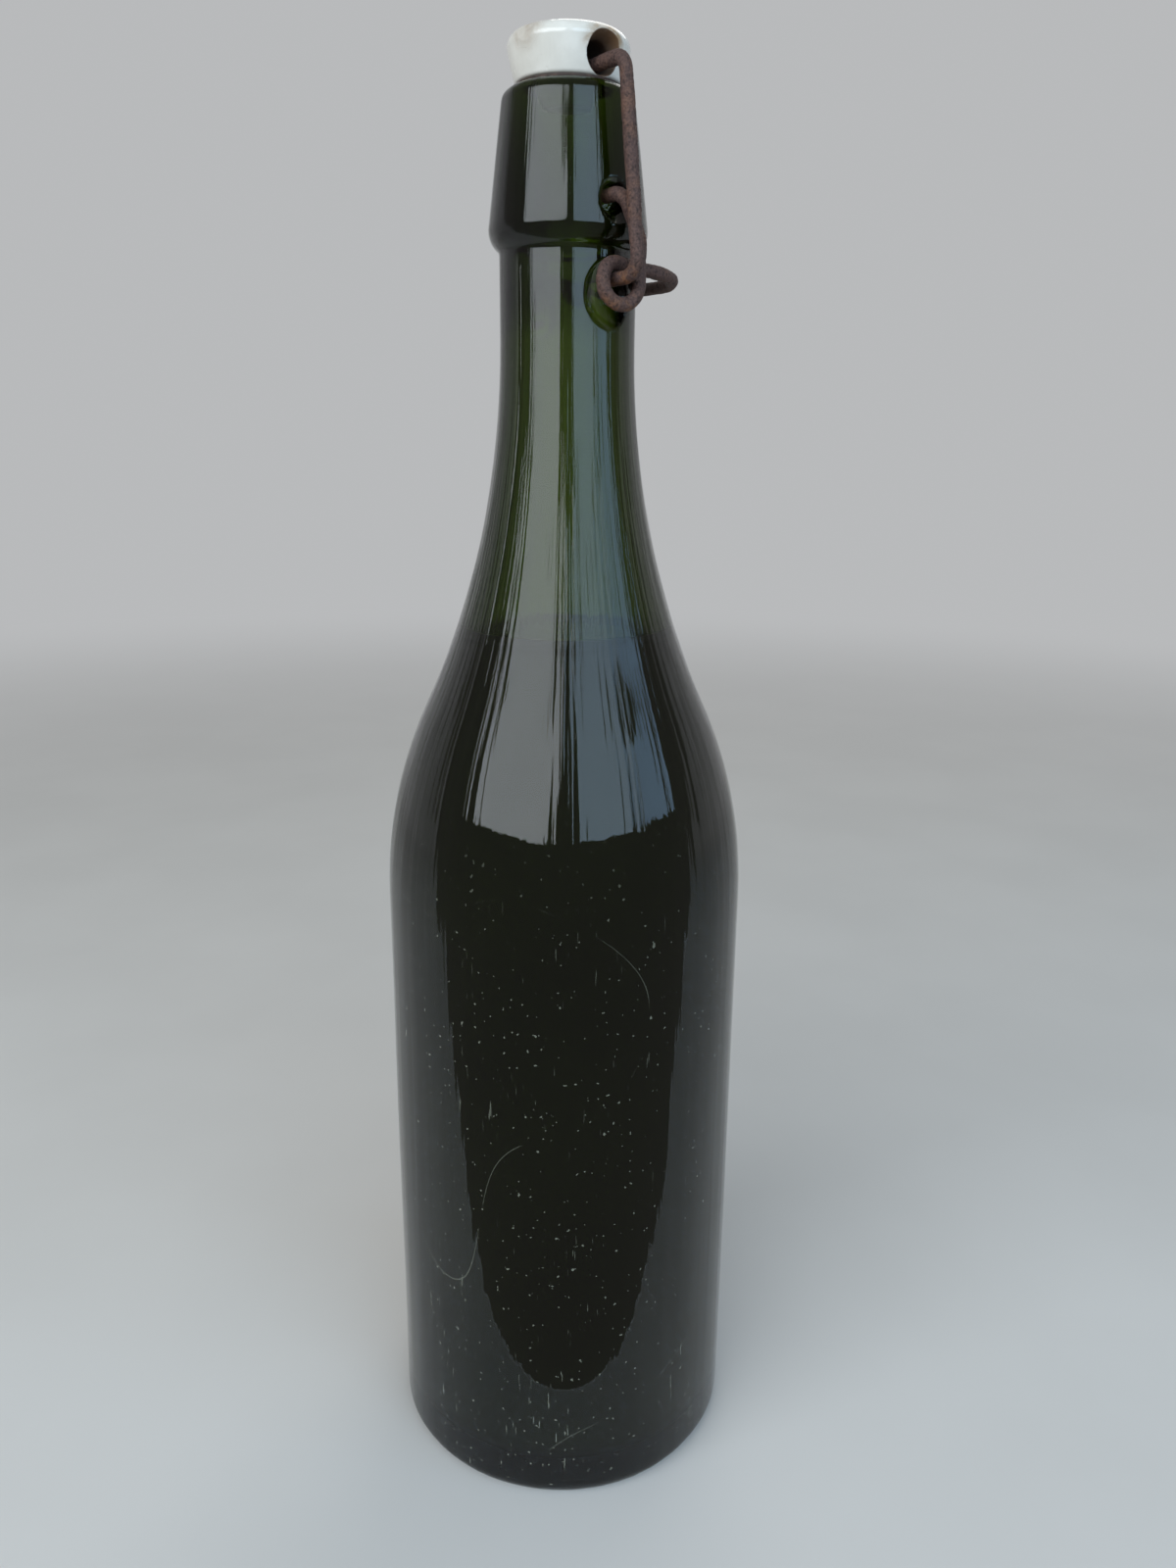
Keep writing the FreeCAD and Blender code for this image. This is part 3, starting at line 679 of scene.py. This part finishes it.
def rubber_material():
    """Perished rubber: brown black, chalky where it dries out, cracked fine."""
    rubber = Shader("gasket_rubber_aged")
    chalk = rubber.span(rubber.noise(500.0, 6.0), 0.45, 0.75)
    cracks = rubber.cracks(900.0, 0.06)
    aged = rubber.mix(chalk, colour(0.050, 0.030, 0.024), colour(0.130, 0.085, 0.065))
    rubber.set(
        Base_Color=rubber.mix(rubber.math("MULTIPLY", cracks, 0.6), aged, colour(0.018, 0.012, 0.010)),
        Roughness=rubber.between(chalk, 0.6, 0.9),
    )
    rubber.bump(rubber.math("SUBTRACT", rubber.noise(1200.0), cracks), 0.08 * MM, 0.5)
    return rubber.material


# Studio

def turned(azimuth):
    """The rotation that turns -Y, where azimuth 0 stands, to an azimuth."""
    return Matrix.Rotation(math.radians(azimuth), 4, "Z")


def make_stage():
    """A pale floor that is rounded off in front of the bottle and sweeps up into a wall behind it."""
    edge_step, sweep_step = 0.0005, 0.02
    profile = outline((
        (-STAGE_FRONT, -STAGE_DROP, STAGE_DROP, None),
        (-STAGE_FRONT, -STAGE_EDGE, edge_step, (STAGE_EDGE, -1)),
        (STAGE_EDGE - STAGE_FRONT, 0, FLOOR_DEPTH, None),
        (FLOOR_DEPTH, 0, sweep_step, (SWEEP_R, 1)),
        (FLOOR_DEPTH + SWEEP_R, SWEEP_R, WALL_TOP, None),
        (FLOOR_DEPTH + SWEEP_R, WALL_TOP, WALL_TOP, None),
    ))
    turn = turned(CAMERA_AZIMUTH)
    vertices = [turn @ Vector((side * STAGE_WIDTH / 2, y, z)) for side in (-1, 1) for y, z in profile]
    count = len(profile)
    faces = [(row, count + row, count + row + 1, row + 1) for row in range(count - 1)]
    mesh = bpy.data.meshes.new("stage")
    mesh.from_pydata(vertices, [], faces)
    mesh.materials.append(floor_material())
    piece = bpy.data.objects.new("stage", mesh)
    bpy.context.scene.collection.objects.link(piece)


def floor_material():
    """Pale matt floor; far from the bottle it shows as an even pale background, in glass and metal too."""
    floor = Shader("stage_floor")
    cloud = floor.span(floor.noise(9.0), 0.3, 0.7)
    floor.set(Roughness=0.85, Specular_IOR_Level=0.2)
    floor.set(Base_Color=floor.mix(cloud, colour(0.70, 0.69, 0.67), colour(0.73, 0.72, 0.70)))
    glow = floor.tree.nodes.new("ShaderNodeEmission")
    glow.inputs["Color"].default_value = colour(*BACKDROP)
    glow.inputs["Strength"].default_value = PALENESS
    distant = floor.math("SUBTRACT", 1.0, floor.spot((0, 0, 0), FADE_R))
    blend = floor.tree.nodes.new("ShaderNodeMixShader")
    floor.put(blend.inputs[0], floor.math("MULTIPLY", floor.seen(), distant))
    floor.put(blend.inputs[1], floor.main.outputs[0])
    floor.put(blend.inputs[2], glow.outputs[0])
    floor.put(floor.output.inputs["Surface"], blend.outputs[0])
    return floor.material


def make_world():
    """A dim room, which fills the shadows."""
    world = bpy.data.worlds.new("studio")
    bpy.context.scene.world = world
    world.use_nodes = True
    background = world.node_tree.nodes["Background"]
    background.inputs["Color"].default_value = colour(*ROOM)
    background.inputs["Strength"].default_value = AMBIENT


def add_softbox(name, azimuth, elevation, distance, size, radiance, tint):
    """A soft box that faces the bottle, seen in reflections only; its azimuth counts from the camera's."""
    light = bpy.data.lights.new(name, "AREA")
    light.shape = "RECTANGLE"
    light.size, light.size_y = size
    light.energy = radiance * math.pi * size[0] * size[1]
    light.color = tint
    box = bpy.data.objects.new(name, light)
    aim = Vector((0, 0, AIM_Z))
    rise = math.radians(elevation)
    away = turned(CAMERA_AZIMUTH + azimuth) @ Vector((0, -math.cos(rise), math.sin(rise)))
    box.location = aim + away * distance
    box.rotation_euler = away.to_track_quat("Z", "Y").to_euler()
    box.visible_camera = False
    bpy.context.scene.collection.objects.link(box)


def make_lights():
    """Open shade under a cool sky: three soft boxes on the camera's side, and one behind."""
    add_softbox("sky_left", -36, 25, distance=1.2, size=(1.20, 0.80), radiance=4.0, tint=(0.88, 0.95, 1.0))
    add_softbox("sky_right", 28, 25, distance=1.2, size=(0.80, 0.80), radiance=3.0, tint=(0.58, 0.80, 1.0))
    add_softbox("sky_low_right", 63, 17, distance=1.2, size=(0.50, 0.44), radiance=2.6, tint=(0.44, 0.7, 1.0))
    add_softbox("behind", 160, 50, distance=1.0, size=(0.60, 0.60), radiance=1.4, tint=(1.0, 0.98, 0.95))


def make_camera():
    camera = bpy.data.cameras.new("camera")
    camera.lens = CAMERA_LENS
    camera.sensor_width = CAMERA_SENSOR
    camera.clip_start = CAMERA_CLIP
    eye = bpy.data.objects.new("camera", camera)
    stand = turned(CAMERA_AZIMUTH) @ Vector((0, -CAMERA_DISTANCE, CAMERA_HEIGHT))
    heading = Matrix.Rotation(math.radians(CAMERA_AZIMUTH - CAMERA_YAW), 4, "Z")
    pitch = Matrix.Rotation(math.radians(90 - CAMERA_PITCH), 4, "X")
    roll = Matrix.Rotation(math.radians(CAMERA_ROLL), 4, "Z")
    eye.matrix_world = Matrix.Translation(stand) @ heading @ pitch @ roll
    bpy.context.scene.collection.objects.link(eye)
    bpy.context.scene.camera = eye


make_glass()
make_drink()
make_wire("lever_wire", "rusted_lever", "lever", rust_material("wire_rust_lever", 190.0, "lever_wire"))
make_wire("bail_wire", "rusted_bail", "bail", rust_material("wire_rust_bail", 230.0, "bail_wire"))
make_stopper()
make_gasket()
make_stage()
make_world()
make_lights()
make_camera()
bpy.context.scene.view_settings.view_transform = "Standard"
